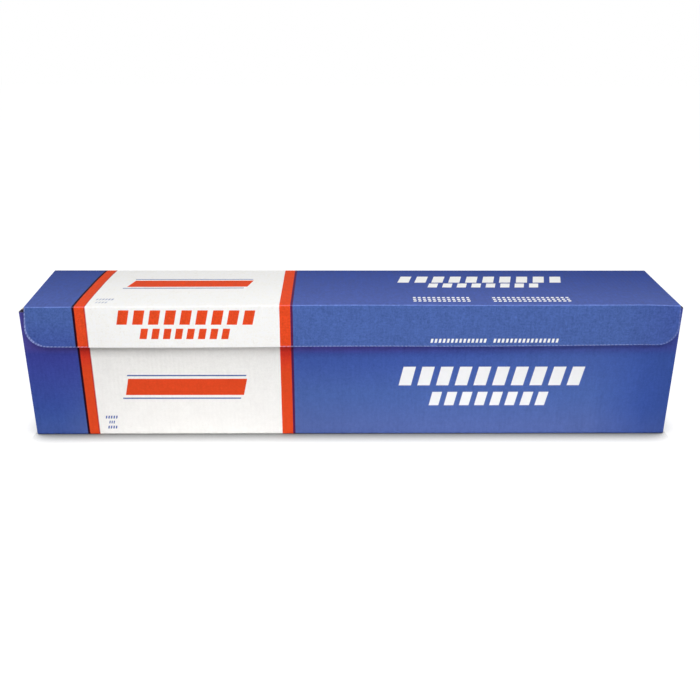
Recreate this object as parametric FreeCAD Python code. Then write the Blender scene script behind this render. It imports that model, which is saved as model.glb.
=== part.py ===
import FreeCAD, Part
import math
import os

# A roll of aluminium foil in its cutter carton. Millimetres, +Z up, +X along the roll.
# The origin is the middle of the carton's underside, and the front wall faces -Y.

# Foil and core
FOIL_WIDTH = 457.2          # an 18 inch sheet
ROLL_DIAMETER = 75.5        # about 152 m of 0.0216 mm foil on the core
CORE_BORE = 31.75           # inside diameter of the core
CORE_WALL = 2.0
CORE_STANDS_OUT = 1.4       # the core beyond the foil, at each end
CORE_FIT = 0.1              # radial, between the core and the first turn
TURN_BANDS = 5              # groups of turns that stand in and out at the roll's ends
TURN_BAND_STEP = 0.4
FOIL_END_THICKNESS = 0.3    # the loose end of the sheet
FOIL_END_LIFT = 3.0         # how much larger the loose turn's radius is
FOIL_END_START = 80.0       # degrees, 90 is the top of the roll and 180 faces the front
FOIL_END_STOP = 165.0

# Corrugated board of the carton
BOARD = 1.6
FOLD_RADIUS = 1.6           # outside of a fold
CREASE_RADIUS = 0.8         # outside of the crease that the lid hangs on
END_FLAP_SEAM = 1.0         # gap between the two outer end flaps
END_FLAP_RAISED = 0.5       # cut edge of the outer end flaps above the underside
INNER_FLAP_SHORT = 2.8      # inner end flap below the front wall's top

# Room around the roll
SEAT_GAP = 0.3              # foil above the bottom board
SIDE_ROOM = 3.4             # foil to front and back wall
END_ROOM = 1.8              # core to inner end flap
HEAD_ROOM = 19.4            # foil to the front wall's top
FRONT_DROP = 3.3            # front wall below the back wall

# Lid and its front flap
LID_GAP = 0.3               # lid above the back wall, at the crease
FLAP_GAP = 0.9              # flap in front of the front wall
FLAP_DROP = 31.0            # from the lid's top to the flap's lower edge
FLAP_CORNER = 16.0          # radius of the flap's lower corners
LID_INSET_LEFT = 5.5        # lid's front corner inside the tray's
LID_INSET_RIGHT = 2.5
FLAP_FLARE = 3.4            # flap's lower corner outside its upper one

# Serrated cutter strip
STRIP_THICKNESS = 0.3
STRIP_HEIGHT = 12.0
STRIP_SHOWS = 0.8           # tooth points below the flap
STRIP_END_MARGIN = 1.0      # strip short of the flap's round corners
TOOTH_PITCH = 3.0
TOOTH_HEIGHT = 1.6

# Sizes that follow from the ones above
CORE_RADIUS = CORE_BORE / 2 + CORE_WALL
CORE_LENGTH = FOIL_WIDTH + 2 * CORE_STANDS_OUT
ROLL_RADIUS = ROLL_DIAMETER / 2
ROLL_AXIS_Z = BOARD + SEAT_GAP + ROLL_RADIUS
LENGTH = CORE_LENGTH + 2 * END_ROOM + 4 * BOARD
DEPTH = ROLL_DIAMETER + 2 * SIDE_ROOM + 2 * BOARD
FRONT_HEIGHT = BOARD + SEAT_GAP + ROLL_DIAMETER + HEAD_ROOM
BACK_HEIGHT = FRONT_HEIGHT + FRONT_DROP
LID_UNDERSIDE = BACK_HEIGHT + LID_GAP
LID_TOP = LID_UNDERSIDE + BOARD
FLAP_BACK_Y = -DEPTH / 2 - FLAP_GAP
FLAP_FRONT_Y = FLAP_BACK_Y - BOARD
FLAP_BOTTOM = LID_TOP - FLAP_DROP
FLAP_LEFT = -LENGTH / 2 + LID_INSET_LEFT
FLAP_RIGHT = LENGTH / 2 - LID_INSET_RIGHT
CUT_PAST = 1.0              # how far a cutting box runs past the solid


def vec(x, y, z):
    return FreeCAD.Vector(x, y, z)


def box(x0, x1, y0, y1, z0, z1):
    """A block between two corners."""
    return Part.makeBox(x1 - x0, y1 - y0, z1 - z0, vec(x0, y0, z0))


def edges_on(shape, test):
    """The edges whose two ends both pass the test."""
    return [edge for edge in shape.Edges if all(test(vertex.Point) for vertex in edge.Vertexes)]


def rounded_box(half_length, half_depth, height):
    """The tray's outside: upright folds at the corners and folds along the front and back."""
    block = box(-half_length, half_length, -half_depth, half_depth, 0, height)

    def upright(edge):
        a, b = (vertex.Point for vertex in edge.Vertexes)
        return abs(a.z - b.z) > height / 2

    def bottom_long(edge):
        a, b = (vertex.Point for vertex in edge.Vertexes)
        return max(a.z, b.z) < BOARD / 2 and abs(a.x - b.x) > half_length

    folds = [edge for edge in block.Edges if upright(edge) or bottom_long(edge)]
    return block.makeFillet(FOLD_RADIUS, folds)


def carton_tray():
    """Bottom, front and back wall, and two ends of an inner flap and two outer flaps each."""
    x_out, y_out = LENGTH / 2, DEPTH / 2
    x_in, y_in = x_out - BOARD, y_out - BOARD
    tray = rounded_box(x_out, y_out, BACK_HEIGHT)
    tray = tray.cut(box(-x_in, x_in, -y_in, y_in, BOARD, BACK_HEIGHT + CUT_PAST))
    lowered = box(-x_out - CUT_PAST, x_out + CUT_PAST, -y_out - CUT_PAST, 0,
                  FRONT_HEIGHT, BACK_HEIGHT + CUT_PAST)
    tray = tray.cut(lowered)
    for side in (-1, 1):
        inner, outer = sorted((side * x_in, side * (x_out + CUT_PAST)))
        seam = box(inner, outer, -END_FLAP_SEAM / 2, END_FLAP_SEAM / 2, -CUT_PAST,
                   BACK_HEIGHT + CUT_PAST)
        raised = box(inner, outer, -y_out - CUT_PAST, y_out + CUT_PAST, -CUT_PAST, END_FLAP_RAISED)
        tray = tray.cut(seam).cut(raised)
        inner, outer = sorted((side * (x_in - BOARD), side * x_in))
        flap = box(inner, outer, -y_in, y_in, 0, FRONT_HEIGHT - INNER_FLAP_SHORT)
        tray = tray.fuse(flap)
    return tray.removeSplitter()


def lid_panel():
    """The top board: as long as the tray at the crease, a little shorter at the front fold."""
    corners = [
        vec(-LENGTH / 2, DEPTH / 2, LID_UNDERSIDE),
        vec(LENGTH / 2, DEPTH / 2, LID_UNDERSIDE),
        vec(FLAP_RIGHT, FLAP_FRONT_Y, LID_UNDERSIDE),
        vec(FLAP_LEFT, FLAP_FRONT_Y, LID_UNDERSIDE),
    ]
    outline = Part.makePolygon(corners + corners[:1])
    return Part.Face(outline).extrude(vec(0, 0, BOARD))


def lid_flap():
    """The front flap: its sides flare out a little, and its lower corners are round."""
    corners = [
        vec(FLAP_LEFT, FLAP_BACK_Y, LID_TOP),
        vec(FLAP_RIGHT, FLAP_BACK_Y, LID_TOP),
        vec(FLAP_RIGHT + FLAP_FLARE, FLAP_BACK_Y, FLAP_BOTTOM),
        vec(FLAP_LEFT - FLAP_FLARE, FLAP_BACK_Y, FLAP_BOTTOM),
    ]
    outline = Part.makePolygon(corners + corners[:1])
    flap = Part.Face(outline).extrude(vec(0, -BOARD, 0))

    def lower_corner(edge):
        a, b = (vertex.Point for vertex in edge.Vertexes)
        low = max(a.z, b.z) < FLAP_BOTTOM + BOARD / 2
        return low and abs(a.y - b.y) > BOARD / 2

    return flap.makeFillet(FLAP_CORNER, [edge for edge in flap.Edges if lower_corner(edge)])


def carton_lid():
    """Top panel and flap as one folded board, round along the fold and along the crease."""
    lid = lid_panel().fuse(lid_flap()).removeSplitter()

    def front_fold(point):
        return abs(point.z - LID_TOP) < BOARD / 4 and abs(point.y - FLAP_FRONT_Y) < BOARD / 4

    def back_crease(point):
        return abs(point.z - LID_TOP) < BOARD / 4 and abs(point.y - DEPTH / 2) < BOARD / 4

    lid = lid.makeFillet(FOLD_RADIUS, edges_on(lid, front_fold))
    return lid.makeFillet(CREASE_RADIUS, edges_on(lid, back_crease))


def cutter_strip():
    """A steel strip flat on the flap's inner face, with a row of V teeth along its lower edge."""
    corner_run = FLAP_CORNER + STRIP_END_MARGIN
    left = FLAP_LEFT - FLAP_FLARE + corner_run
    right = FLAP_RIGHT + FLAP_FLARE - corner_run
    teeth = int((right - left) / TOOTH_PITCH)
    start = (left + right - teeth * TOOTH_PITCH) / 2
    tip = FLAP_BOTTOM - STRIP_SHOWS
    root = tip + TOOTH_HEIGHT
    top = tip + STRIP_HEIGHT
    points = [vec(start, FLAP_BACK_Y, top), vec(start, FLAP_BACK_Y, root)]
    for tooth in range(teeth):
        points.append(vec(start + (tooth + 0.5) * TOOTH_PITCH, FLAP_BACK_Y, tip))
        points.append(vec(start + (tooth + 1) * TOOTH_PITCH, FLAP_BACK_Y, root))
    points.append(vec(start + teeth * TOOTH_PITCH, FLAP_BACK_Y, top))
    outline = Part.makePolygon(points + points[:1])
    return Part.Face(outline).extrude(vec(0, STRIP_THICKNESS, 0))


def tube(radius, bore_radius, length):
    """A round tube along X, on the roll's axis."""
    start, along = vec(-length / 2, 0, ROLL_AXIS_Z), vec(1, 0, 0)
    outside = Part.makeCylinder(radius, length, start, along)
    return outside.cut(Part.makeCylinder(bore_radius, length, start, along))


def wound_turns():
    """The turns as one solid, with bands of them standing in and out at both ends."""
    bore = CORE_RADIUS + CORE_FIT
    band = (ROLL_RADIUS - bore) / TURN_BANDS
    right = []
    for index in range(TURN_BANDS):
        x = FOIL_WIDTH / 2 - TURN_BAND_STEP * (index % 2)
        right.append(vec(x, 0, bore + index * band))
        right.append(vec(x, 0, bore + (index + 1) * band))
    left = [vec(-point.x, 0, point.z) for point in reversed(right)]
    outline = Part.makePolygon(right + left + right[:1])
    turns = Part.Face(outline).revolve(vec(0, 0, 0), vec(1, 0, 0), 360)
    turns.translate(vec(0, 0, ROLL_AXIS_Z))
    return turns


def loose_end():
    """The sheet's outer end: an arc that leaves the roll near its top and stands off the front."""
    angle = math.radians(FOIL_END_START)
    outer = ROLL_RADIUS + FOIL_END_LIFT
    centre_y = -FOIL_END_LIFT * math.cos(angle)
    centre_z = ROLL_AXIS_Z - FOIL_END_LIFT * math.sin(angle)

    def arc(radius):
        def at(degrees):
            turn = math.radians(degrees)
            y = centre_y + radius * math.cos(turn)
            return vec(-FOIL_WIDTH / 2, y, centre_z + radius * math.sin(turn))
        middle = (FOIL_END_START + FOIL_END_STOP) / 2
        return [at(FOIL_END_START), at(middle), at(FOIL_END_STOP)]

    high, low = arc(outer), arc(outer - FOIL_END_THICKNESS)
    edges = [
        Part.Arc(*high).toShape(),
        Part.makeLine(high[2], low[2]),
        Part.Arc(*low).toShape(),
        Part.makeLine(low[0], high[0]),
    ]
    return Part.Face(Part.Wire(edges)).extrude(vec(FOIL_WIDTH, 0, 0))


def foil_roll():
    """All turns of the foil with the loose end of the sheet, as one solid."""
    return wound_turns().fuse(loose_end()).removeSplitter()


def core_tube():
    """The cardboard tube inside the foil."""
    return tube(CORE_RADIUS, CORE_BORE / 2, CORE_LENGTH)


NODES = {
    "carton_tray": carton_tray,
    "carton_lid": carton_lid,
    "cutter_strip": cutter_strip,
    "foil_roll": foil_roll,
    "core_tube": core_tube,
}

os.makedirs("parts", exist_ok=True)
for name, make in NODES.items():
    shape = make()
    shape.exportStep(f"parts/{name}.step")
    print(name, len(shape.Solids), shape.isValid(), round(shape.Volume, 1))
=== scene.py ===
import math

import bpy
import numpy as np
from mathutils import Euler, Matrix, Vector


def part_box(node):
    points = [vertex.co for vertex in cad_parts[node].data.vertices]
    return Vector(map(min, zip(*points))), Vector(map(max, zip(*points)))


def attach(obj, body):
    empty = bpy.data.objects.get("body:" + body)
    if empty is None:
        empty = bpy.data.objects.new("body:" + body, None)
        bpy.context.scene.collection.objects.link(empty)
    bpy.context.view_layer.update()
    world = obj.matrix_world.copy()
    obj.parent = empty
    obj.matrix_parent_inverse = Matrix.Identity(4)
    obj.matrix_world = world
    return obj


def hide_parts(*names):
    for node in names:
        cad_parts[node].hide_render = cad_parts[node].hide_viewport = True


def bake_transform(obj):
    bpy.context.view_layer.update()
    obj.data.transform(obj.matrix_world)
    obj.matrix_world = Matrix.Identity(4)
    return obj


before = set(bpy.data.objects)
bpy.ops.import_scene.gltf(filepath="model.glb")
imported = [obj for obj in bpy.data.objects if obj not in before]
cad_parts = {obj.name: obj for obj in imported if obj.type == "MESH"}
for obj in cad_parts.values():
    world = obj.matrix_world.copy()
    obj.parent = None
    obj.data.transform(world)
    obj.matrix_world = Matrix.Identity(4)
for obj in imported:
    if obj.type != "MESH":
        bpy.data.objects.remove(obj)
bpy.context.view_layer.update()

# A roll of aluminium foil in its cutter carton, dressed. Metres in the mesh code,
# millimetres in the print plans. +X runs along the roll and the front wall faces -Y.
MM = 0.001
TRAY_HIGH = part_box("carton_tray")[1]
LID_LOW, LID_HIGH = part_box("carton_lid")
ROLL_LOW, ROLL_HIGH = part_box("foil_roll")
CORE_LOW, CORE_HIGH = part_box("core_tube")
STRIP_LOW, STRIP_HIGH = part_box("cutter_strip")

# Corrugated board: two liners with a fluted sheet between them
BOARD = 1.6 * MM
LINER = 0.26 * MM
FLUTED_SHEET = 0.17 * MM
FLUTE_PITCH = 3.2 * MM
FLUTE_CLEAR = 0.01 * MM
FLUTE_SWING = (BOARD - 2 * LINER - FLUTED_SHEET) / 2 - FLUTE_CLEAR
FLUTE_STEPS = 8
FOLD = 1.8 * MM
LID_FOLD = 1.0 * MM
CREASE = 0.9 * MM
LIP_LIFT = 0.02 * MM
LIP_THICKNESS = 0.22 * MM
SHARP_ANGLE = math.radians(35)

# Tray
HALF_LENGTH = TRAY_HIGH.x
HALF_DEPTH = TRAY_HIGH.y
BACK_TOP = TRAY_HIGH.z
FRONT_TOP = BACK_TOP - 3.3 * MM
INNER_FLAP_TOP = FRONT_TOP - 2.8 * MM
SEAM_HALF = 0.5 * MM
END_FLAP_RAISED = 0.5 * MM
RIGHT_EAR = 3.0 * MM
RIGHT_EAR_LENGTH = 12 * MM
END_SLOPE = 2.4 * MM

# Lid and flap
LID_TOP = LID_HIGH.z
LID_FRONT = LID_LOW.y
FLAP_BOTTOM = LID_LOW.z
HINGE_Z = (BACK_TOP + LID_TOP - BOARD) / 2
FLAP_LEFT = -HALF_LENGTH + 5.5 * MM
FLAP_RIGHT = HALF_LENGTH - 3.4 * MM
FLARE_LEFT = 3.4 * MM
FLARE_RIGHT = 2.6 * MM
FLAP_CORNER = 16 * MM
FLAP_DROP = LID_TOP - FLAP_BOTTOM
LID_SAG = 0.5 * MM
LID_RISE = 1.4 * MM
LID_CROWN = 0.75 * MM
LID_DROOP = 0.9 * MM
CROWN_X, CROWN_WIDTH = -12 * MM, 80 * MM
DROOP_X, DROOP_WIDTH = 205 * MM, 30 * MM
SET_POWER = 1.5
FLAP_REACH = 4 * MM
# How far the flap leans out and its cut edge is lifted, at the flap's ends and in its middle
FLAP_LEAN = (0.9 * MM, 1.9 * MM)
FLAP_LIFT = (1.3 * MM, 0.4 * MM)

# Crease between the tray and the lid. A rim this near to it shows paper and not a cut edge.
CREASE_STRIP_HALF = 0.65 * MM
HINGE_BAND = 1.2 * MM
HINGE_DEPTH = 1.1 * BOARD
# A mark far from the fold and the flap's rim, where there is no wear or painted highlight
FAR_FROM_WEAR_AND_HIGHLIGHT = 10.0

# Foil, core and strip
ROLL_AXIS_Z = (CORE_LOW.z + CORE_HIGH.z) / 2
CORE_RADIUS = CORE_HIGH.y
ROLL_RADIUS = ROLL_AXIS_Z - ROLL_LOW.z
ROLL_HALF = ROLL_HIGH.x
TOOTH_PITCH = 3.0 * MM
TOOTH_HEIGHT = 1.6 * MM
TURN_BUNDLES = 5
LOOSE_FROM, LOOSE_TO = math.radians(80), math.radians(165)
LOOSE_LIFT = 3.0 * MM
LOOSE_THICKNESS = 0.12 * MM

# Sides of a closed sheet, as numbers of its materials
OUTER, INNER, RIM, HINGE_RIM = range(4)


def mesh_object(name, vertices, faces, materials, face_material=None, marks=None):
    """A piece at the origin from arrays of vertices and quads, with its per-vertex marks."""
    mesh = bpy.data.meshes.new(name)
    mesh.vertices.add(len(vertices))
    mesh.vertices.foreach_set("co", vertices.astype(np.float32).ravel())
    mesh.loops.add(faces.size)
    mesh.loops.foreach_set("vertex_index", faces.astype(np.int32).ravel())
    mesh.polygons.add(len(faces))
    mesh.polygons.foreach_set("loop_start", np.arange(0, faces.size, 4, dtype=np.int32))
    mesh.update(calc_edges=True)
    for material in materials:
        mesh.materials.append(material)
    if face_material is not None:
        mesh.polygons.foreach_set("material_index", face_material.astype(np.int32))
    for key, values in (marks or {}).items():
        layer = mesh.attributes.new(key, "FLOAT", "POINT")
        layer.data.foreach_set("value", values.astype(np.float32))
    mesh.validate()
    mesh.polygons.foreach_set("use_smooth", np.ones(len(mesh.polygons), bool))
    mesh.set_sharp_from_angle(angle=SHARP_ANGLE)
    mesh.update()
    piece = bpy.data.objects.new(name, mesh)
    bpy.context.scene.collection.objects.link(piece)
    return piece


def quads(first, rows, columns):
    """The quads of a grid of rows x columns vertices that starts at vertex number first."""
    corner = first + np.arange((rows - 1) * columns).reshape(rows - 1, columns)[:, :-1]
    return np.stack([corner, corner + 1, corner + columns + 1, corner + columns], -1).reshape(-1, 4)


def outward(vertices, faces):
    """The faces, turned over if the closed shell that they make encloses a negative volume."""
    a, b, c, d = (vertices[faces[:, k]] for k in range(4))
    volume = np.einsum("ij,ij->i", a, np.cross(b, c) + np.cross(c, d)).sum()
    return faces[:, ::-1] if volume < 0 else faces


def closed_sheet(outer, inner, marks=None):
    """A sheet between two grids of points, outer and inner, with a strip round its rim. Each face
    is marked as one of the outer side, the inner side or the cut rim."""
    rows, columns = outer.shape[:2]
    count = rows * columns
    vertices = np.concatenate([outer.reshape(-1, 3), inner.reshape(-1, 3)])
    top = quads(0, rows, columns)
    bottom = quads(count, rows, columns)[:, ::-1]
    number = np.arange(count).reshape(rows, columns)
    loop = np.concatenate([number[0, :], number[1:, -1], number[-1, -2::-1], number[-2:0:-1, 0]])
    following = np.roll(loop, -1)
    rim = np.stack([following, loop, loop + count, following + count], -1)
    faces = outward(vertices, np.concatenate([top, bottom, rim]))
    kinds = np.repeat([OUTER, INNER, RIM], [len(top), len(bottom), len(rim)])
    both = {key: np.tile(values.ravel(), 2) for key, values in (marks or {}).items()}
    return {"vertices": vertices, "faces": faces, "kinds": kinds, "marks": both}


def joined(name, sheets, materials):
    """One piece from several closed sheets. The materials are those of the outer side, the inner
    side, the cut rim and the rim along the hinge; the last one given stands for the rest."""
    starts = np.cumsum([0] + [len(sheet["vertices"]) for sheet in sheets])
    vertices = np.concatenate([sheet["vertices"] for sheet in sheets])
    faces = np.concatenate([sheet["faces"] + start for sheet, start in zip(sheets, starts)])
    kinds = np.concatenate([sheet["kinds"] for sheet in sheets])
    middle = vertices[faces].mean(1)
    near = np.abs(middle[:, 2] - HINGE_Z) < HINGE_BAND
    kinds[(kinds == RIM) & near & (middle[:, 1] > HALF_DEPTH - HINGE_DEPTH)] = HINGE_RIM
    keys = sheets[0]["marks"]
    marks = {key: np.concatenate([sheet["marks"][key] for sheet in sheets]) for key in keys}
    kinds = np.minimum(kinds, len(materials) - 1)
    return mesh_object(name, vertices, faces, materials, kinds, marks)


def dress(piece, body, node):
    """The piece rides on its body and stands for its CAD node, which it hides."""
    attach(piece, body)
    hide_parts(node)
    return piece


def smooth(t):
    """0 to 1 with level ends, for t from 0 to 1."""
    t = np.clip(t, 0, 1)
    return t * t * (3 - 2 * t)


def spread(low, high, count):
    """Numbers from low to high, closer together near both ends, by a cosine."""
    return low + (high - low) * (1 - np.cos(np.linspace(0, math.pi, count))) / 2


def quarter(count):
    """Angles inside a quarter turn, evenly apart and without its two ends."""
    return np.linspace(0, math.pi / 2, count + 2)[1:-1]


def both_ends(half, count, sign=1):
    """A row of values carried on round the right end: its first count, mirrored, with a sign."""
    return np.concatenate([half, sign * half[count - 1::-1]])


# Board


def flute_columns(length):
    """How many columns a run of flutes of this length takes."""
    return int(round(length / FLUTE_PITCH)) * FLUTE_STEPS + 1


def flute_wave(run):
    """Height of the fluted sheet's middle above the board's middle: a sine of the flutes' pitch."""
    return FLUTE_SWING * np.sin(2 * math.pi * run / FLUTE_PITCH)


def run_length(x, y):
    """Distance along a path from its start."""
    return np.concatenate([[0], np.cumsum(np.hypot(np.diff(x), np.diff(y)))])


def liners(points, normals):
    """The printed liner, under the board's outer face, and the inner liner at its other face."""
    printed = closed_sheet(points, points - normals * LINER)
    inside = closed_sheet(points - normals * (BOARD - LINER), points - normals * BOARD)
    return printed, inside


def fluted_sheet(points, normals, run):
    """The sheet between the liners. Its middle swings about the board's as a sine of the distance
    run along the path."""
    middle = points - normals * (BOARD / 2 - flute_wave(run)[None, :, None])
    half = normals * FLUTED_SHEET / 2
    return closed_sheet(middle + half, middle - half)


# Tray


def wall_path(side, along_wall, along_flap):
    """The tray's outline seen from above, for the front (side -1) or back (side 1) wall: in from
    the left end's seam, round the corner on an arc of radius FOLD, along the wall and round to the
    right end. Gives points, outward normals and each column's share of the bottom fold."""
    corner_x, corner_y = HALF_LENGTH - FOLD, HALF_DEPTH - FOLD
    flap_y = np.linspace(SEAM_HALF, corner_y, along_flap)
    turn = quarter(7)
    none, full = np.zeros(along_flap), np.ones(len(along_wall))
    x = np.concatenate([none - HALF_LENGTH, -corner_x - FOLD * np.cos(turn), along_wall * corner_x])
    y = np.concatenate([flap_y, corner_y + FOLD * np.sin(turn), full * HALF_DEPTH])
    nx = np.concatenate([none - 1, -np.cos(turn), full * 0])
    ny = np.concatenate([none, np.sin(turn), full])
    share = np.concatenate([none, np.sin(turn) ** 2, full])
    end = along_flap + len(turn)
    x, nx = both_ends(x, end, -1), both_ends(nx, end, -1)
    y, ny, share = both_ends(y, end), both_ends(ny, end), both_ends(share, end)
    return x, side * y, nx, side * ny, share


def wall_grid(path, heights, top_at, fold_steps=6):
    """The wall's outside: each column of the path goes down through heights (1 at the top, 0 at the
    bottom fold) and then round the fold, which turns under where the share is 1 and runs straight
    down to the end flap's raised edge where it is 0. Gives points and normals."""
    x, y, nx, ny, share = path
    turn = np.linspace(0, math.pi / 2, fold_steps + 1)[1:]
    top = top_at(x, y)
    straight = FOLD + np.outer(heights, top - FOLD)
    folded = FOLD * (1 - np.sin(turn))[:, None] * share
    plain = np.linspace(FOLD, END_FLAP_RAISED, fold_steps + 1)[1:, None] * (1 - share)
    z = np.concatenate([straight, folded + plain])
    lean = np.concatenate([np.zeros(len(heights)), turn])[:, None] * share
    inset = FOLD * (1 - np.cos(lean))
    points = np.stack([x - nx * inset, y - ny * inset, z], -1)
    normals = np.stack([nx * np.cos(lean), ny * np.cos(lean), -np.sin(lean)], -1)
    return points, normals


def wall_sheets(side, top):
    """Printed liner, fluted sheet and inner liner of the front or back wall with its end flaps.
    The front wall's top rises at its right corner, and the back wall's end flaps slope down
    towards the middle of the ends."""
    def top_at(x, y):
        if side < 0:
            return top + RIGHT_EAR * smooth((x - HALF_LENGTH) / RIGHT_EAR_LENGTH + 1)
        return top - END_SLOPE * (1 - y / HALF_DEPTH)

    path = wall_path(side, spread(-1, 1, 90), 14)
    printed, inside = liners(*wall_grid(path, spread(1, 0, 14), top_at))
    along = np.linspace(-1, 1, flute_columns(2 * (HALF_LENGTH - FOLD)))
    path = wall_path(side, along, flute_columns(HALF_DEPTH))
    points, normals = wall_grid(path, np.linspace(1, 0, 3), top_at, 3)
    return printed, fluted_sheet(points, normals, run_length(path[0], path[1])), inside


def hinge_lip():
    """The inner liner turned outwards over the back wall's top, where the board is creased."""
    x = np.linspace(-HALF_LENGTH + FOLD, HALF_LENGTH - FOLD, 40)
    y = np.linspace(HALF_DEPTH - BOARD, HALF_DEPTH, 5)
    low = np.stack(np.broadcast_arrays(x, y[:, None], BACK_TOP + LIP_LIFT), -1)
    return closed_sheet(low + np.array([0, 0, LIP_THICKNESS]), low)


def bottom_path(along_bottom, along_flap):
    """The bottom board with its two inner end flaps, seen from the front: down the left flap, round
    a fold, along the underside and up the right flap. Gives x, z and their outward normals."""
    wall = HALF_LENGTH - BOARD
    turn = quarter(6)
    none, full = np.zeros(along_flap), np.ones(len(along_bottom))
    rise = spread(INNER_FLAP_TOP, FOLD, along_flap)
    underside = along_bottom * (wall - FOLD)
    x = np.concatenate([none - wall, -wall + FOLD * (1 - np.cos(turn)), underside])
    z = np.concatenate([rise, FOLD * (1 - np.sin(turn)), full * 0])
    nx = np.concatenate([none - 1, -np.cos(turn), full * 0])
    nz = np.concatenate([none, -np.sin(turn), -full])
    end = along_flap + len(turn)
    return both_ends(x, end, -1), both_ends(z, end), both_ends(nx, end, -1), both_ends(nz, end)


def bottom_grid(path, rows):
    """The path carried from front to back between the folds of the two walls."""
    x, z, nx, nz = path
    reach = np.linspace(-1, 1, rows) * (HALF_DEPTH - FOLD)
    points = np.stack(np.broadcast_arrays(x, reach[:, None], z), -1)
    normals = np.stack(np.broadcast_arrays(nx, 0.0 * reach[:, None], nz), -1)
    return points, normals


def bottom_sheets():
    """Printed liner, fluted sheet and inner liner of the bottom and the inner end flaps."""
    printed, inside = liners(*bottom_grid(bottom_path(spread(-1, 1, 60), 12), 9))
    along = np.linspace(-1, 1, flute_columns(2 * HALF_LENGTH))
    path = bottom_path(along, flute_columns(INNER_FLAP_TOP))
    points, normals = bottom_grid(path, 2)
    return printed, fluted_sheet(points, normals, run_length(path[0], path[1])), inside


# Lid


def lid_profile(top_rows, flap_rows, arc_steps, fold=FOLD):
    """The lid's outside seen from the end: up the hinge edge, round the crease, over the top, round
    the front fold and down the flap. Gives y, z, the normal and the share of the flap's drop."""
    crease_turn = np.linspace(0, math.pi / 2, arc_steps)
    fold_turn = np.linspace(math.pi / 2, math.pi, arc_steps)
    over = spread(HALF_DEPTH - CREASE, LID_FRONT + fold, top_rows)[1:-1]
    y = np.concatenate([[HALF_DEPTH], HALF_DEPTH - CREASE + CREASE * np.cos(crease_turn), over,
                        LID_FRONT + fold + fold * np.cos(fold_turn), np.full(flap_rows, LID_FRONT)])
    z = np.concatenate([[HINGE_Z], LID_TOP - CREASE + CREASE * np.sin(crease_turn),
                        np.full(len(over), LID_TOP), LID_TOP - fold + fold * np.sin(fold_turn),
                        np.full(flap_rows, LID_TOP - fold)])
    ny = np.concatenate([[1.0], np.cos(crease_turn), np.zeros(len(over)), np.cos(fold_turn),
                         np.full(flap_rows, -1.0)])
    nz = np.concatenate([[0.0], np.sin(crease_turn), np.ones(len(over)), np.sin(fold_turn),
                         np.zeros(flap_rows)])
    drop = np.zeros(len(y))
    drop[-flap_rows:] = spread(0, 1, flap_rows + 1)[1:]
    return np.stack([y, z, ny, nz, drop], -1)


def lid_grid(profile, across):
    """The profile carried along the carton. Its sides taper from the crease to the front fold and
    flare down the flap, and the flap's columns stop short near its sides, on a quarter circle."""
    y, z, ny, nz, drop = profile.T[:, :, None]
    side = np.minimum(across, 1 - across) * 2 * HALF_LENGTH
    inside = np.clip(FLAP_CORNER - side, 0, FLAP_CORNER)
    lowest = FLAP_BOTTOM + FLAP_CORNER - np.sqrt(FLAP_CORNER ** 2 - inside ** 2)
    z = z + drop * (lowest - z)
    forward = np.clip((HALF_DEPTH - y) / (HALF_DEPTH - LID_FRONT), 0, 1)
    flare = np.clip((LID_TOP - z) / FLAP_DROP, 0, 1) * (drop > 0)
    left = -HALF_LENGTH + (FLAP_LEFT + HALF_LENGTH) * forward - FLARE_LEFT * flare
    right = HALF_LENGTH - (HALF_LENGTH - FLAP_RIGHT) * forward + FLARE_RIGHT * flare
    x = left + (right - left) * across
    points = np.stack(np.broadcast_arrays(x, y, z), -1)
    normals = np.stack(np.broadcast_arrays(0.0 * x, ny, nz), -1)
    return points, normals


def lid_marks(points):
    """For the wear and the painted highlight: millimetres up and over the front fold from its
    middle, and from the flap's cut edge."""
    x, y, z = points[..., 0], points[..., 1], points[..., 2]
    up, back = z - (LID_TOP - LID_FOLD), y - (LID_FRONT + LID_FOLD)
    turn = np.arctan2(np.clip(up, 0, None), np.clip(-back, 0, None))
    fold = LID_FOLD * (turn - math.pi / 4) + np.clip(back, 0, None) + np.clip(up, None, 0)
    on_flap = y < LID_FRONT + LID_FOLD / 2
    from_left = x - x.min(-1, keepdims=True)
    from_right = x.max(-1, keepdims=True) - x
    lowest = z.min(0)
    corner = FLAP_BOTTOM + FLAP_CORNER - z
    past = FLAP_CORNER - np.minimum(from_left, from_right)
    rounded = FLAP_CORNER - np.hypot(np.clip(past, 0, None), np.clip(corner, 0, None))
    rim = np.where(on_flap, np.minimum(rounded, np.maximum(z - lowest, 0)), FLAP_CORNER)
    return {"fold": fold / MM, "rim": rim / MM}


def as_it_lies(points):
    """The lid's points moved to how the card has set: the front edge sinks a little at the left
    end, rises to the right with a low crown near its middle and droops at the right corner. The
    flap bows out, most in its middle, and its cut edge is a little higher at both ends. The line
    and the lean grow as a power of the distance from the hinge and from the fold."""
    x, y, z = points[..., 0], points[..., 1], points[..., 2]
    forward = np.clip((HALF_DEPTH - y) / (HALF_DEPTH - LID_FRONT), 0, 1)
    share = (x + HALF_LENGTH) / (2 * HALF_LENGTH)
    crown = LID_CROWN * np.exp(-((x - CROWN_X) / CROWN_WIDTH) ** 2)
    droop = LID_DROOP * smooth((x - DROOP_X) / DROOP_WIDTH)
    line = LID_RISE * share - LID_SAG * (1 - share) + crown - droop
    drop = np.clip((LID_TOP - z) / FLAP_DROP, 0, 1)
    bow = 1 - (2 * share - 1) ** 2
    lean = FLAP_LEAN[0] + (FLAP_LEAN[1] - FLAP_LEAN[0]) * bow
    lean = lean * drop ** SET_POWER * (y < LID_FRONT + FLAP_REACH)
    lift = FLAP_LIFT[0] + (FLAP_LIFT[1] - FLAP_LIFT[0]) * bow
    rise = line * forward ** SET_POWER + lift * drop
    return np.stack([x, y - lean, z + rise], -1)


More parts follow.
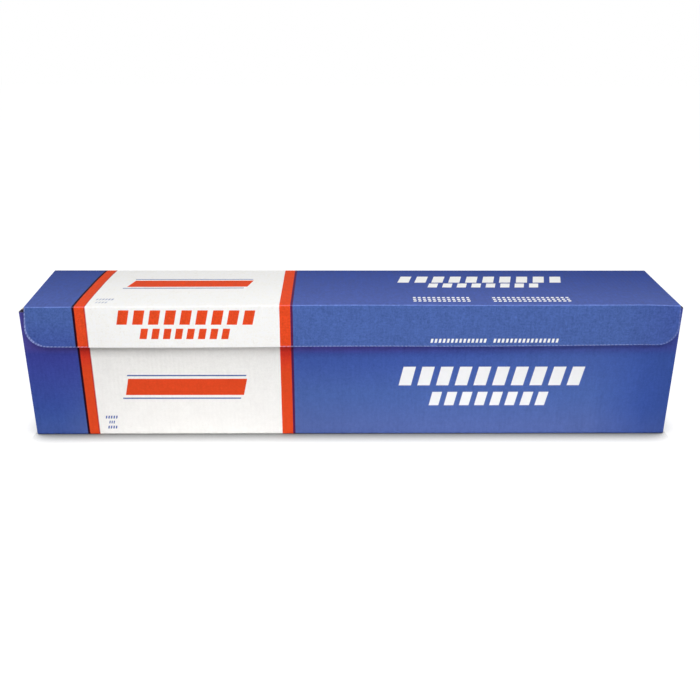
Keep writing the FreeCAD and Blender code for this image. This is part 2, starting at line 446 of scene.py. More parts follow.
def lid_sheet(points, normals, near, far, marks=None):
    """A sheet of the lid between two depths under its outer face, as it lies."""
    outer, inner = as_it_lies(points - normals * near), as_it_lies(points - normals * far)
    return closed_sheet(outer, inner, marks)


def under_profile(top_rows, flap_rows, arc_steps):
    """The lid's profile for what lies under the printed liner: it starts level, by the crease."""
    profile = lid_profile(top_rows, flap_rows, arc_steps)[arc_steps + 2:]
    profile[0, 0] = HALF_DEPTH - LINER
    return profile


def lid_sheets():
    """Printed liner, fluted sheet and inner liner of the lid with its flap. The liners' columns
    are close together near the sides, for the flap's round corners."""
    sides = spread(0, 0.08, 26)[:18]
    middle = np.linspace(sides[-1], 1 - sides[-1], 90)[1:-1]
    across = np.concatenate([sides, middle, 1 - sides[::-1]])
    points, normals = lid_grid(lid_profile(18, 18, 9, LID_FOLD), across)
    printed = lid_sheet(points, normals, 0, LINER, lid_marks(points))
    points, normals = lid_grid(under_profile(18, 18, 9), across)
    inside = lid_sheet(points, normals, BOARD - LINER, BOARD)

    across = np.linspace(0, 1, flute_columns(2 * HALF_LENGTH))
    depth = BOARD / 2 - flute_wave(across * 2 * HALF_LENGTH)[None, :, None]
    points, normals = lid_grid(under_profile(5, 9, 4), across)
    fluted = lid_sheet(points, normals, depth - FLUTED_SHEET / 2, depth + FLUTED_SHEET / 2)
    return printed, fluted, inside


def crease_sheet():
    """A strip of liner behind the hinge line that joins the back wall to the lid."""
    x = np.linspace(-HALF_LENGTH, HALF_LENGTH, 60)
    z = HINGE_Z + np.linspace(-CREASE_STRIP_HALF, CREASE_STRIP_HALF, 15)
    grid = np.stack(np.broadcast_arrays(x, HALF_DEPTH + LIP_LIFT, z[:, None]), -1)
    no_wear_or_highlight = np.full(grid.shape[:2], FAR_FROM_WEAR_AND_HIGHLIGHT)
    return closed_sheet(grid, grid - np.array([0, LINER, 0]), {"fold": no_wear_or_highlight, "rim": no_wear_or_highlight})


# Shader maths, and a node tree's one way to make a node


class Wire:
    """A number's socket in a node tree. Arithmetic on it adds Math nodes."""

    def __init__(self, graph, socket):
        self.graph = graph
        self.socket = socket

    def math(self, operation, *others):
        values = [self.socket] + [getattr(other, "socket", other) for other in others]
        node = self.graph.node("ShaderNodeMath", {"operation": operation}, dict(enumerate(values)))
        return Wire(self.graph, node.outputs[0])

    def __add__(self, other):
        return self.math("ADD", other)

    def __mul__(self, other):
        return self.math("MULTIPLY", other)

    def __sub__(self, other):
        return self.math("SUBTRACT", other)

    def __truediv__(self, other):
        return self.math("DIVIDE", other)

    def __rsub__(self, other):
        return (self * -1) + other

    __radd__ = __add__
    __rmul__ = __mul__

    def sine(self):
        return self.math("SINE")

    def fraction(self):
        return self.math("FRACT")

    def size(self):
        return self.math("ABSOLUTE")

    def least(self, other):
        return self.math("MINIMUM", other)

    def most(self, other):
        return self.math("MAXIMUM", other)

    def rise(self, low, high):
        """0 below low and 1 above high, straight between them."""
        settings = {"interpolation_type": "LINEAR", "clamp": True}
        node = self.graph.node("ShaderNodeMapRange", settings, {0: self.socket, 1: low, 2: high})
        return Wire(self.graph, node.outputs[0])

    def between(self, low, high, soft):
        """1 from low to high, with edges that are soft wide."""
        half = soft / 2
        return self.rise(low - half, low + half) * (1 - self.rise(high - half, high + half))


class Graph:
    """A node tree under construction."""

    def __init__(self, tree):
        self.tree = tree

    def node(self, kind, settings=None, inputs=None):
        """One node: settings first, then each input's value or link by its name or number."""
        node = self.tree.nodes.new(kind)
        for key, value in (settings or {}).items():
            setattr(node, key, value)
        self.feed(node, inputs or {})
        return node

    def feed(self, node, inputs):
        """A value or a link for each of these inputs of a node."""
        for key, value in inputs.items():
            value = getattr(value, "socket", value)
            if isinstance(value, bpy.types.NodeSocket):
                self.tree.links.new(value, node.inputs[key])
            else:
                node.inputs[key].default_value = value


class Finish(Graph):
    """A material under construction: a Principled shader and the nodes that feed it."""

    def __init__(self, name):
        self.material = bpy.data.materials.new(name)
        self.material.use_nodes = True
        super().__init__(self.material.node_tree)
        self.tree.nodes.clear()
        self.shader = self.node("ShaderNodeBsdfPrincipled")
        self.node("ShaderNodeOutputMaterial", {}, {0: self.shader.outputs[0]})

    def vector_math(self, operation, inputs):
        """One vector operation, on vectors or on colours."""
        return self.node("ShaderNodeVectorMath", {"operation": operation}, inputs).outputs[0]

    def scaled(self, vector, factor):
        """A vector or colour multiplied by a number or wire."""
        return self.vector_math("SCALE", {0: vector, "Scale": factor})

    def place(self):
        """Object coordinates in millimetres, as a vector socket and three wires."""
        vector = self.scaled(self.node("ShaderNodeTexCoord").outputs["Object"], 1 / MM)
        split = self.node("ShaderNodeSeparateXYZ", {}, {0: vector})
        return vector, [Wire(self, output) for output in split.outputs]

    def mark(self, name):
        """A per-vertex mark of the piece, as a wire."""
        return Wire(self, self.node("ShaderNodeAttribute", {"attribute_name": name}).outputs["Fac"])

    def noise(self, vector, scale, detail=3.0, rough=0.55):
        """Smooth noise from 0 to 1 about 0.5, with this many waves in a millimetre."""
        inputs = {"Vector": vector, "Scale": scale, "Detail": detail, "Roughness": rough}
        return Wire(self, self.node("ShaderNodeTexNoise", {}, inputs).outputs[0])

    def grain(self, vector, waves, detail, rough):
        """Noise with its own number of waves in a millimetre along each axis."""
        return self.noise(self.vector_math("MULTIPLY", {0: vector, 1: waves}), 1.0, detail, rough)

    def mixed(self, first, second, share):
        """Colour first, changing to second as share goes from 0 to 1."""
        node = self.node("ShaderNodeMix", {"data_type": "RGBA"}, {0: share, 6: first, 7: second})
        return node.outputs[2]

    def bump(self, height, distance, strength=1.0):
        """A normal from a height wire in millimetres."""
        inputs = {"Height": height, "Distance": distance * MM, "Strength": strength}
        return self.node("ShaderNodeBump", {}, inputs).outputs[0]

    def set(self, **inputs):
        """Values or links of the shader's sockets; an underscore stands for a space."""
        self.feed(self.shader, {key.replace("_", " "): value for key, value in inputs.items()})
        return self.material


def ink(red, green, blue):
    """A colour written as 0 to 255 display values, in linear light."""
    display = np.array([red, green, blue]) / 255
    linear = np.where(display > 0.04045, ((display + 0.055) / 1.055) ** 2.4, display / 12.92)
    return (*linear.tolist(), 1.0)


BLUE = ink(74, 99, 164)
# Blues of the tray's front with painted light and shade: lit from the floor, shaded high up and at
# the ends, a violet painted shade, and a painted shadow under the flap
FLOOR_LIT_BLUE = ink(83, 102, 162)
SHADED_HIGH_BLUE = ink(65, 89, 164)
SHADED_END_BLUE = ink(60, 86, 162)
VIOLET_SHADE_BLUE = ink(62, 70, 155)
UNDER_FLAP_SHADOW_BLUE = ink(84, 79, 166)
# Painted shade on the flap's ends
FLAP_SHADE_BLUE = ink(67, 88, 159)
TOP_BLUE = ink(76, 94, 162)
# Painted shade on the lid's top towards its back
TOP_BACK_SHADE_BLUE = ink(52, 73, 148)
WHITE = ink(244, 243, 240)
RED = ink(224, 74, 36)
DEEP_RED = ink(178, 40, 44)
# Red in the painted shadow under the flap
SHADOWED_RED = ink(216, 30, 44)
DARK = ink(40, 12, 24)
PURPLE = ink(84, 34, 76)
KRAFT = ink(186, 148, 104)
KRAFT_DEEP = ink(160, 122, 82)
FLUTE = ink(206, 180, 142)
FLUTE_DEEP = ink(176, 148, 110)
RAW_WHITE = ink(238, 234, 228)
# Pale paper and painted highlight, along the fold and the flap's cut edge
WORN_AND_HIGHLIGHT = ink(188, 198, 248)
# Painted shade in the front corners under the lid
CORNER_SHADE = ink(40, 42, 88)
FOIL_HAZE = ink(196, 198, 201)
FOIL_BRIGHT = ink(226, 228, 230)
STEEL_DARK = ink(150, 152, 156)
STEEL_PALE = ink(196, 198, 200)
TUBE_PAPER = ink(171, 146, 112)
TUBE_FIBRE = ink(139, 115, 84)
TUBE_LAP = ink(98, 78, 56)

# Print plan in millimetres. The white band with its two stripes goes round the carton.
TRAY_STRIPES = (-195.3, -187.8), (-51.6, -43.3)
LID_STRIPES = (-195.0, -187.3), (-50.9, -42.9)
KEYLINE = 1.4
TRAP = 0.7
INK_EDGE = 0.25
SLANT = 0.22
NICK_PITCH = 2.7
# Factor by which the lid's ink is brighter than the tray's
LID_BRIGHTER = 1.08
BRIGHTEST = 0.96
LAP_PITCH = 62.0

# A row of slanted blocks: its span, its rise across the row, how many blocks, and the share of
# their pitch that is inked. A bar: the span of its lower edge, and its rise.
FRONT_WHITE = (((34.3, 169.9), (40.1, 54.9), 10, 0.66), ((56.9, 144.9), (23.9, 34.8), 8, 0.64))
FRONT_BAR = (-165.5, -79.0), (32.5, 45.5)
FRONT_LINES = ((-163.3, -76.8), (47.6, 48.6)), ((-167.9, -81.4), (29.4, 30.4))
FRONT_SMALL = (
    ((-182.4, -173.2), (13.3, 15.6), 5, 0.6),
    ((-180.2, -175.6), (9.2, 11.5), 3, 0.6),
    ((-181.4, -174.2), (5.0, 7.3), 4, 0.6),
)
FLAP_RED = (((-166.2, -67.8), (88.6, 99.2), 9, 0.66), ((-150.7, -86.0), (78.0, 85.7), 8, 0.62))
FLAP_WHITE = (((55.8, 96.0), (75.3, 78.2), 14, 0.55), ((100.6, 147.5), (75.3, 78.2), 16, 0.55))
TOP_BAR = (-168.0, -78.0), (-0.5, 15.0)
TOP_LINES = ((-165.5, -75.5), (17.4, 18.8)), ((-170.4, -80.4), (-4.4, -3.0))
TOP_SMALL = (((-183.5, -170.5), (-31.0, -27.5), 6, 0.6), ((-182.5, -173.5), (-37.5, -34.0), 4, 0.6))
TOP_WHITE = (
    ((35.1, 163.3), (9.3, 25.0), 10, 0.66),
    ((56.9, 142.2), (-3.0, 7.0), 8, 0.64),
    *(((43.7, 84.8), (low, low + 2.4), 12, 0.6) for low in (-37.0, -33.0, -29.0)),
    *(((100.9, 156.7), (low, low + 2.4), 16, 0.6) for low in (-37.0, -33.0, -29.0)),
)


def block_row(along, across, span, rise, count, filled):
    """A row of slanted blocks between span along the row and rise across it."""
    pitch = (span[1] - span[0] - SLANT * (rise[1] - rise[0])) / (count - 1 + filled)
    run = (along - (across - rise[0]) * SLANT - span[0]) / pitch
    blocks = run.fraction().between(0, filled, INK_EDGE / pitch)
    inside = run.between(0, count - 1 + filled, INK_EDGE / pitch)
    return blocks * inside * across.between(*rise, INK_EDGE)


def slanted_bar(along, across, span, rise):
    """One long bar with slanted ends."""
    run = along - (across - rise[0]) * SLANT
    return run.between(*span, INK_EDGE) * across.between(*rise, INK_EDGE)


def artwork(along, across, rows, bars=()):
    """One mask for several rows of blocks and several bars."""
    masks = [block_row(along, across, *row) for row in rows]
    masks += [slanted_bar(along, across, *bar) for bar in bars]
    whole = masks[0]
    for mask in masks[1:]:
        whole = whole.most(mask)
    return whole


def striped_ground(finish, blue, red, stripes, left_x, right_x):
    """The blue, the white band and its two red stripes with their keylines. Each stripe has its own
    place along the carton."""
    left_red, right_red = stripes
    half = INK_EDGE / 2
    past_left = left_x.rise(left_red[0] - half, left_red[0] + half)
    before_right = right_x.rise(right_red[1] + half, right_red[1] - half)
    inked = left_x.between(*left_red, INK_EDGE).most(right_x.between(*right_red, INK_EDGE))
    trap_left = left_x.between(left_red[1] - TRAP, left_red[1] + TRAP / 2, INK_EDGE)
    key_left = left_x.between(left_red[0] - KEYLINE, left_red[0] + INK_EDGE, INK_EDGE)
    key_right = right_x.between(right_red[1] - INK_EDGE, right_red[1] + KEYLINE, INK_EDGE)
    colour = finish.mixed(blue, WHITE, past_left.least(before_right))
    colour = finish.mixed(colour, red, inked)
    colour = finish.mixed(colour, DEEP_RED, trap_left * 0.7)
    colour = finish.mixed(colour, DARK, key_left)
    return finish.mixed(colour, PURPLE, key_right)


def edge_wander(finish, vector):
    """Millimetres by which the edges of the ink wander."""
    return (finish.noise(vector, 0.9, 2.0) - 0.5) * 0.12


def board_texture(finish, vector, x, fineness, blotches=1.0):
    """Mottle of the ink about 0, with this much fine grain and this many blotches, and the height
    of the board's face: flutes that show through, and fibres."""
    cloudy = finish.grain(vector, (0.11, 0.05, 0.05), 4.0, 0.6)
    blotch = finish.grain(vector, (0.42, 0.26, 0.26), 3.0, 0.65)
    streak = finish.grain(vector, (0.8, 0.12, 0.12), 2.0, 0.6)
    ripple = finish.grain(vector, (0.16, 0.9, 0.9), 2.0, 0.6)
    fibre = finish.grain(vector, (0.8, 0.8, 0.8), 3.0, 0.7)
    flutes = (x * (2 * math.pi / (FLUTE_PITCH / MM))).sine()
    fine = (fibre - 0.5) * 0.5 + (streak - 0.5) * 0.14 + (ripple - 0.5) * 0.16
    broad = (cloudy - 0.5) * 0.2 + (blotch - 0.5) * 0.3 * blotches
    height = flutes * 0.35 + fibre * 0.3 + blotch * 0.6 + cloudy * 0.8
    return broad + fine * fineness + flutes * 0.012, height


def printed_board(finish, colour, mottle, height, shade_factor):
    """Ink on coated white paper: a low, broken gloss. Pale ink shows less of the mottle. The last
    factor scales the ink, and on the tray it carries painted light and shade.
    """
    grey = Wire(finish, finish.node("ShaderNodeRGBToBW", {}, {0: colour}).outputs[0])
    mottle = mottle * (1 - grey.rise(0.15, 0.25) * 0.65)
    inked = finish.scaled(colour, (mottle + 1) * shade_factor)
    inked = finish.vector_math("MINIMUM", {0: inked, 1: (BRIGHTEST,) * 3})
    return finish.set(Base_Color=inked, Roughness=mottle * 0.6 + 0.5,
                      Normal=finish.bump(height, 0.05), Specular_IOR_Level=0.02)


def tray_print():
    """The tray's printed liner, with painted light and shade on the front's blue: paler towards the
    floor, darker high up and towards the ends, a violet painted shade at the left end and under the
    flap, and a purple painted shadow just under the flap, which deepens the red there too. A
    painted shade under the flap and a painted light right of the middle scale the ink."""
    finish = Finish("tray_print")
    vector, (x, y, z) = finish.place()
    wander = edge_wander(finish, vector)
    along, up = x + wander, z + wander
    near_front = y.rise(-30, -41)
    on_front = y.rise(-42.0, -42.3)
    ends = x.size().rise(176, 216)
    # Painted light towards the floor, and painted shade high up and towards both ends
    blue = finish.mixed(BLUE, FLOOR_LIT_BLUE, z.rise(32, 8))
    blue = finish.mixed(blue, SHADED_HIGH_BLUE, z.rise(34, 58) * (1 - x.rise(60, 140) * 0.5))
    blue = finish.mixed(blue, SHADED_END_BLUE, ends * (1 - z.rise(24, 4) * 0.35))
    # Painted shade: violet at the left end and under the flap
    under_flap = z.rise(61, 70) * (0.65 - x.rise(0, 160) * 0.35)
    violet = z.rise(12, 62) * x.rise(-170, -200).most(under_flap)
    blue = finish.mixed(blue, VIOLET_SHADE_BLUE, violet * near_front)
    # Painted shadow, purple, just under the flap's edge
    shadowed = z.rise(64.8, 69.6) * (0.9 - x.rise(0, 80) * 0.6)
    blue = finish.mixed(blue, UNDER_FLAP_SHADOW_BLUE, shadowed * near_front)
    # Painted shade deepens the red under the flap
    red = finish.mixed(RED, SHADOWED_RED, z.rise(50, 68) * 0.6)
    colour = striped_ground(finish, blue, red, TRAY_STRIPES, along, along)
    colour = finish.mixed(colour, WHITE, artwork(along, up, FRONT_WHITE) * on_front)
    colour = finish.mixed(colour, RED, slanted_bar(along, up, *FRONT_BAR) * on_front)
    colour = finish.mixed(colour, BLUE, artwork(along, up, FRONT_SMALL, FRONT_LINES) * on_front)

    # Painted shade under the flap and painted light right of the middle, as one factor on the ink
    painted_shade = z.rise(62, 70) * (0.13 + x.rise(-197, -190) * 0.16 - x.rise(-185, -80) * 0.24)
    lifted = x.rise(-45, 60) * (1 - x.rise(202, 230)) * on_front * 0.14
    mottle, height = board_texture(finish, vector, x, z.rise(16, 40) * 0.3 + 0.5)
    return printed_board(finish, colour, mottle, height, 1 - (painted_shade - lifted))


def lid_print():
    """The lid's printed liner, with wear and a painted highlight along the fold and the flap's cut
    edge, and painted shade towards the top's back and at the flap's ends.
    """
    finish = Finish("lid_print")
    vector, (x, y, z) = finish.place()
    wander = edge_wander(finish, vector)
    along, up, back = x + wander, z + wander, y + wander
    on_flap = y.rise(-44.9, -45.1)
    on_top = z.rise(101.7, 101.9)
    # Painted shade: the top darker towards its back, and more at the back edge
    to_back = y.rise(-38, 40) * (0.85 + x.rise(60, 200) * 0.3)
    blue = finish.mixed(TOP_BLUE, TOP_BACK_SHADE_BLUE, to_back)
    blue = finish.scaled(blue, 1 - y.rise(33, 40) * 0.1)
    blue = finish.mixed(BLUE, blue, y.rise(-45.2, -43.8))
    # Painted shade: the flap darker low at its left end and at its right end
    flap_shade = (x.rise(-150, -190) * z.rise(94, 76)).most(x.rise(190, 228) * 0.8)
    blue = finish.mixed(blue, FLAP_SHADE_BLUE, flap_shade * on_flap)
    far = y.rise(0, 42)
    left_x = along - far * far * 1.7 + y.rise(-44, -34) * y.rise(0, -20) * 0.25
    right_x = along + y.rise(-45, 30) * 0.9 + 0.2
    colour = striped_ground(finish, blue, RED, LID_STRIPES, left_x, right_x)
    white = artwork(along, up, FLAP_WHITE) * on_flap
    red = artwork(along, up, FLAP_RED) * on_flap
    colour = finish.mixed(colour, WHITE, white.most(artwork(along, back, TOP_WHITE) * on_top))
    colour = finish.mixed(colour, RED, red.most(slanted_bar(along, back, *TOP_BAR) * on_top))
    colour = finish.mixed(colour, BLUE, artwork(along, back, TOP_SMALL, TOP_LINES) * on_top)

    # Wear with a painted highlight, along the fold, which catches light, and along the flap's cut
    # edge
    broken = finish.noise(vector, 0.55, 3.0, 0.7)
    off_fold = (finish.mark("fold") - 0.15).size()
    fold_wear_and_highlight = (1 - off_fold.rise(0.2, 0.55)) * (0.4 + broken.rise(0.3, 0.62) * 0.55)
    round_rim = x + z * (x.rise(-1, 1) * 2 - 1)
    nicks = (round_rim * (2 * math.pi / NICK_PITCH)).sine() * 0.14
    rim_wear_and_highlight = (1 - finish.mark("rim").rise(0.4, 0.9)) * (broken + nicks).rise(0.25, 0.65)
    rim_wear_and_highlight = rim_wear_and_highlight * (0.48 - x.rise(-190, -20) * 0.1 - x.rise(190, 225) * 0.2)
    # Painted highlight along the fold
    bright = finish.scaled(colour, 1 + fold_wear_and_highlight * 0.5)
    bright = finish.vector_math("MINIMUM", {0: bright, 1: WHITE[:3]})
    worn_and_highlighted = finish.mixed(bright, WORN_AND_HIGHLIGHT, (fold_wear_and_highlight * 0.16).most(rim_wear_and_highlight))
    worn_and_highlighted = finish.vector_math("MAXIMUM", {0: worn_and_highlighted, 1: colour})
    mottle, height = board_texture(finish, vector, x, 1.3 + on_flap * 0.6, 2.0 - on_flap)
    return printed_board(finish, worn_and_highlighted, mottle, height, LID_BRIGHTER)


def shade_corners(finish, paper, x, y, z):
    """The paper, darkened by a painted shade where it shows at the carton's two front corners."""
    corner = x.size().rise(229.5, 231) * y.between(-43.2, -35.5, 2.0) * z.between(94.0, 100.1, 0.3)
    return finish.mixed(paper, CORNER_SHADE, corner * 0.94)


def kraft(name, colour, fibre_colour):
    """Brown paper with long fibres and a faint mottle, and painted shade at the front corners."""
    finish = Finish(name)
    vector, place = finish.place()
    fibres = finish.grain(vector, (0.5, 2.4, 2.4), 5.0, 0.7)
    cloud = finish.noise(vector, 0.06, 3.0)
    paper = finish.mixed(colour, fibre_colour, fibres.rise(0.42, 0.75))
    paper = shade_corners(finish, finish.scaled(paper, 1 + (cloud - 0.5) * 0.2), *place)
    return finish.set(Base_Color=paper, Roughness=0.85, Normal=finish.bump(fibres, 0.04))


def raw_edge():
    """The cut edge of the white liner, with painted shade at the front corners."""
    finish = Finish("raw_edge")
    vector, place = finish.place()
    fibres = finish.noise(vector, 2.2, 4.0, 0.7)
    paper = finish.mixed(RAW_WHITE, KRAFT, fibres.rise(0.55, 0.8) * 0.4)
    paper = shade_corners(finish, paper, *place)
    return finish.set(Base_Color=paper, Roughness=0.9, Normal=finish.bump(fibres, 0.05))


def bright_foil():
    """Rolled aluminium: bright, with fine lines round the roll and faint bands of haze."""
    finish = Finish("bright_foil")
    vector = finish.place()[0]
    lines = finish.grain(vector, (7.0, 0.05, 0.05), 3.0, 0.7)
    bands = finish.grain(vector, (0.06, 0.004, 0.004), 3.0, 0.5)
    crumple = finish.grain(vector, (0.14, 0.05, 0.05), 4.0, 0.5)
    tone = finish.mixed(FOIL_HAZE, FOIL_BRIGHT, bands.rise(0.3, 0.7))
    rough = 0.16 + bands * 0.16 + lines * 0.1
    height = lines * 0.2 + crumple * 2.0
    return finish.set(Base_Color=tone, Metallic=1.0, Roughness=rough,
                      Normal=finish.bump(height, 0.4))


def cutter_steel():
    """Tin plated steel, rolled along the strip."""
    finish = Finish("cutter_steel")
    lines = finish.grain(finish.place()[0], (0.03, 6.0, 6.0), 3.0, 0.6)
    tone = finish.mixed(STEEL_DARK, STEEL_PALE, lines)
    return finish.set(Base_Color=tone, Metallic=1.0, Roughness=0.22 + lines * 0.2,
                      Normal=finish.bump(lines, 0.02))


def core_board():
    """Spiral wound tube paper, with the lap of the ply running round it as a helix."""
    finish = Finish("core_board")
    vector, (x, y, z) = finish.place()
    around = y.math("ARCTAN2", z - ROLL_AXIS_Z / MM) * (1 / (2 * math.pi))
    lap = (x * (1 / LAP_PITCH) + around).fraction().between(0.0, 0.012, 0.006)
    fibres = finish.noise(vector, 1.3, 5.0, 0.7)
    paper = finish.mixed(TUBE_PAPER, TUBE_FIBRE, fibres.rise(0.4, 0.75))
    paper = finish.mixed(paper, TUBE_LAP, lap * 0.7)
    height = fibres * 0.4 - lap
    return finish.set(Base_Color=paper, Roughness=0.8, Normal=finish.bump(height, 0.12))


# Foil


def roll_profile():
    """Half section of the wound foil, from the bore out across the right end, along the surface and
    back across the left end: x, radius. The ends carry rings, one for each bundle of turns."""
    bore = CORE_RADIUS + 0.1 * MM
    radius = np.linspace(bore, ROLL_RADIUS, 61)
    share = (radius - bore) / (ROLL_RADIUS - bore)
    bundle = np.floor(share * (TURN_BUNDLES - 0.001)) % 2
    ring = 0.12 * MM * (np.arange(len(radius)) % 2) + 0.1 * MM * np.sin(share * 41.0)
    end = ROLL_HALF - 0.4 * MM * bundle - np.abs(ring)
    along = np.linspace(end[-1], -end[-1], 240)[1:-1]
    ripple = 0.035 * np.sin(along * 310.0) + 0.03 * np.sin(along * 731.0 + 1.3)
    ripple += 0.02 * np.sin(along * 1733.0 + 0.4)
    surface = ROLL_RADIUS - 0.12 * MM + MM * ripple
    x = np.concatenate([end, along, -end[::-1]])
    r = np.concatenate([radius, surface, radius[::-1]])
    return x, r


def wound_foil(material):
    """The profile turned round the roll's axis, closed through the bore."""
    x, r = roll_profile()
    turn = np.linspace(0, 2 * math.pi, 121)[:-1]
    slack = 0.06 * MM * np.sin(3 * turn + 0.7) + 0.04 * MM * np.sin(7 * turn)
    reach = r + np.outer(slack, (r > ROLL_RADIUS * 0.98))
    points = np.stack([np.broadcast_to(x, reach.shape), reach * np.cos(turn)[:, None],
                       ROLL_AXIS_Z + reach * np.sin(turn)[:, None]], -1)
    rows, columns = points.shape[:2]
    number = np.arange(rows * columns).reshape(rows, columns)
    here, after = number, np.roll(number, -1, 0)
    along = np.roll(here, -1, 1), np.roll(after, -1, 1)
    faces = np.stack([here, along[0], along[1], after], -1).reshape(-1, 4)
    vertices = points.reshape(-1, 3)
    return mesh_object("wound_foil", vertices, outward(vertices, faces), [material])


def loose_foil(material):
    """The sheet's outer end: an arc of 85 degrees that leaves the roll near its top, on a circle
    3 mm larger, with creases that grow towards its free edge."""
    radius = ROLL_RADIUS + LOOSE_LIFT - LOOSE_THICKNESS
    centre_y = -LOOSE_LIFT * math.cos(LOOSE_FROM)
    centre_z = ROLL_AXIS_Z - LOOSE_LIFT * math.sin(LOOSE_FROM)
    turn = np.linspace(LOOSE_FROM, LOOSE_TO, 60)[:, None]
    x = np.linspace(-ROLL_HALF, ROLL_HALF, 260)
    free = smooth((turn - LOOSE_FROM) / (LOOSE_TO - LOOSE_FROM))
    crease = 0.30 * np.sin(x * 190 + 6 * turn) + 0.22 * np.sin(x * 437 - 9 * turn + 0.8)
    crease = crease + 0.12 * np.sin(x * 911 + 23 * turn)
    reach = radius + MM * crease * free * 0.8
    grid = np.stack(np.broadcast_arrays(x, centre_y + reach * np.cos(turn),
                                        centre_z + reach * np.sin(turn)), -1)
    inward = np.stack(np.broadcast_arrays(0.0 * x, np.cos(turn), np.sin(turn)), -1)
    sheet = closed_sheet(grid, grid - inward * LOOSE_THICKNESS)
    return joined("loose_foil", [sheet], [material])


def cutter_blade(material):
    """The strip behind the flap: its lower edge is a row of V teeth, one column of points at each
    tip and root, and a low bead stiffens it along its length."""
    teeth = int(round((STRIP_HIGH.x - STRIP_LOW.x) / TOOTH_PITCH))
    x = np.linspace(STRIP_LOW.x, STRIP_HIGH.x, 2 * teeth + 1)
    lowest = STRIP_LOW.z + TOOTH_HEIGHT * ((np.arange(len(x)) + 1) % 2)
    bead_at, bead_width = 0.36, 0.04
    share = np.array([0.0, 0.3, bead_at, 0.42, 0.7, 1.0])[:, None]
    z = STRIP_HIGH.z + (lowest - STRIP_HIGH.z) * share
    bead = 0.12 * MM * np.exp(-((share - bead_at) / bead_width) ** 2)
    back = np.stack(np.broadcast_arrays(x, STRIP_HIGH.y + bead, z), -1)
    front = np.stack(np.broadcast_arrays(x, STRIP_LOW.y + 0.0 * share, z), -1)
    return joined("cutter_blade", [closed_sheet(as_it_lies(back), as_it_lies(front))], [material])


# The whole object


def carton():
    """The tray and the lid, each as a printed liner, a fluted sheet and an inner liner."""
    inside = kraft("kraft_face", KRAFT, KRAFT_DEEP)
    flutes = kraft("kraft_flutes", FLUTE, FLUTE_DEEP)
    edge = raw_edge()
    tray_parts = list(zip(wall_sheets(-1, FRONT_TOP), wall_sheets(1, BACK_TOP), bottom_sheets()))
    tray_parts[2] += (hinge_lip(),)
    lid_parts = [[sheet] for sheet in lid_sheets()]
    lid_face = lid_print()
    for body, parts, face in (("tray", tray_parts, tray_print()), ("lid", lid_parts, lid_face)):
        node, slot = "carton_" + body, body + "_board"
        printed = joined(body + "_printed_liner", parts[0], [face, edge, edge, inside])
        fluted = joined(body + "_flutes", parts[1], [flutes, flutes, edge, flutes])
        inner = joined(body + "_inner_liner", parts[2], [inside, inside, edge, inside])
        for piece in (printed, fluted, inner):
            dress(piece, body, node)
    crease = joined("crease_liner", [crease_sheet()], [lid_face, inside])
    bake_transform(crease)


def contents():
    """The foil, its core and the cutter strip."""
    foil = bright_foil()
    dress(wound_foil(foil), "tray", "foil_roll")
    dress(loose_foil(foil), "tray", "foil_roll")
    dress(cutter_blade(cutter_steel()), "lid", "cutter_strip")
    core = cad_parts["core_tube"]
    core.data.materials.clear()
    core.data.materials.append(core_board())


# Surroundings

FLOOR_HALF = 3.0
SHADOW_REACH = 0.021
WORLD_LIGHT = 0.3
# Each lamp's name, place, the point that it faces, its two sides, power and spread in degrees
LAMPS = (
    ("key_softbox", (0.0, -0.30, 0.74), (0.0, -0.05, 0.03), (0.75, 0.35), 3.05, 180),
    ("front_strip", (0.0, -0.22, 0.26), (0.0, -0.045, 0.10), (0.8, 0.06), 0.44, 180),
    ("low_fill", (0.0, -0.36, 0.03), (0.0, -0.043, -0.03), (0.42, 0.05), 0.035, 35),
    ("back_fill", (0.0, 0.50, 0.055), (0.0, 0.043, 0.045), (0.8, 0.08), 0.8, 180),
    ("left_fill", (-0.6, 0.0, 0.05), (-0.235, 0.0, 0.045), (0.08, 0.08), 0.5, 180),
    ("right_fill", (0.6, 0.0, 0.05), (0.235, 0.0, 0.045), (0.08, 0.08), 0.5, 180),
)
CAMERA_PLACE = (-0.00727, -0.59926, 0.29553)
CAMERA_PITCH = math.radians(22.229)
CAMERA_YAW = math.radians(0.614)
CAMERA_ROLL = math.radians(0.194)


def rays(graph):
    """Wires that are 1 for camera rays, for glossy rays and for transmission rays."""
    outputs = graph.node("ShaderNodeLightPath").outputs
    kinds = "Camera", "Glossy", "Transmission"
    return [Wire(graph, outputs["Is %s Ray" % kind]) for kind in kinds]


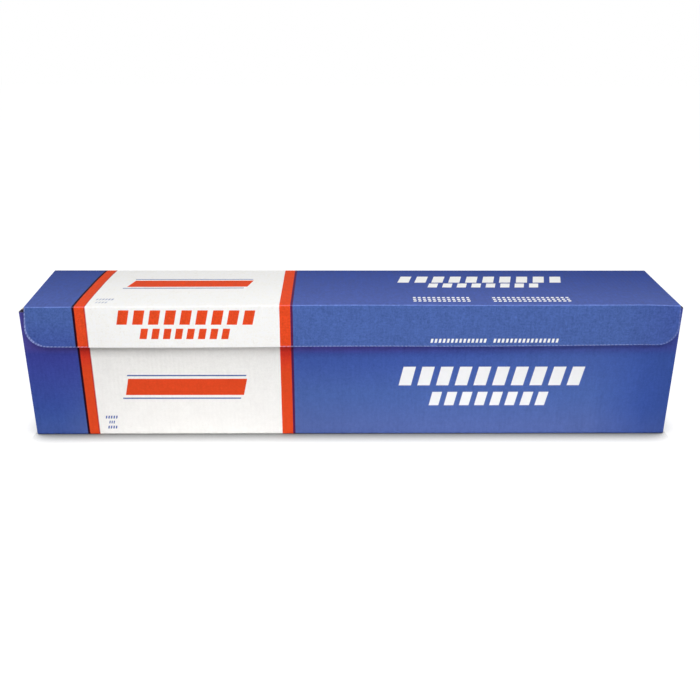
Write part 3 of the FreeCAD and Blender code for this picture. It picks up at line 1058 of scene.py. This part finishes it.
def floor():
    """A white floor with a shadow close to the carton, which fades past the carton's two ends."""
    corners = np.array([[-1, -1, 0], [1, -1, 0], [1, 1, 0], [-1, 1, 0]]) * FLOOR_HALF
    surface = Finish("floor_white")
    distance = {"Distance": SHADOW_REACH}
    closeness = surface.node("ShaderNodeAmbientOcclusion", {"samples": 16}, distance)
    along = surface.place()[1][0]
    shade = Wire(surface, closeness.outputs["AO"]).rise(0.46, 0.93)
    shade = shade.most(along.size().rise(234, 237) * (shade * 0.4 + 0.6))
    to_camera, glossy, transmitted = rays(surface)
    seen = to_camera.most(glossy).most(transmitted)
    glow = surface.scaled((1.0, 1.0, 1.0), seen * (shade * 0.95))
    surface.set(Base_Color=0.88 - seen * 0.7, Roughness=1.0, Specular_IOR_Level=0.0,
                Emission_Color=glow, Emission_Strength=1.0)
    mesh_object("floor", corners, np.array([[0, 1, 2, 3]]), [surface.material])


def surround():
    """A white world that lights the carton a little, and is less bright overhead in mirrors."""
    world = bpy.data.worlds.new("surround")
    world.use_nodes = True
    bpy.context.scene.world = world
    sky = Graph(world.node_tree)
    way = sky.node("ShaderNodeTexCoord").outputs["Generated"]
    upward = Wire(sky, sky.node("ShaderNodeSeparateXYZ", {}, {0: way}).outputs["Z"])
    to_camera, glossy, transmitted = rays(sky)
    mirrored = (1 - upward.rise(0.1, 0.9) * 0.6) * glossy
    strength = mirrored.most(to_camera).most(transmitted).most(WORLD_LIGHT)
    sky.feed(sky.tree.nodes["Background"], {"Color": (1.0, 1.0, 1.0, 1.0), "Strength": strength})


def lamp(name, place, target, size, power, spread):
    """A soft rectangular lamp that faces a point, and that the camera itself never sees."""
    data = bpy.data.lights.new(name, "AREA")
    data.shape = "RECTANGLE"
    data.size, data.size_y = size
    data.energy = power
    data.spread = math.radians(spread)
    light = bpy.data.objects.new(name, data)
    light.visible_camera = False
    light.location = place
    light.rotation_euler = (Vector(target) - Vector(place)).to_track_quat("-Z", "Y").to_euler()
    bpy.context.scene.collection.objects.link(light)


def camera():
    """The photograph's view: in front of the carton, a little above it, looking 22 degrees down."""
    data = bpy.data.cameras.new("view")
    data.sensor_width = 36.0
    data.lens = 43.0
    data.clip_start, data.clip_end = 0.01, 20.0
    view = bpy.data.objects.new("view", data)
    view.location = CAMERA_PLACE
    turn = Euler((math.pi / 2 - CAMERA_PITCH, 0, -CAMERA_YAW), "XYZ").to_matrix()
    view.rotation_euler = (turn @ Euler((0, 0, CAMERA_ROLL), "XYZ").to_matrix()).to_euler()
    bpy.context.scene.collection.objects.link(view)
    bpy.context.scene.camera = view


carton()
contents()
floor()
surround()
for lamp_row in LAMPS:
    lamp(*lamp_row)
camera()
bpy.context.scene.view_settings.view_transform = "Standard"
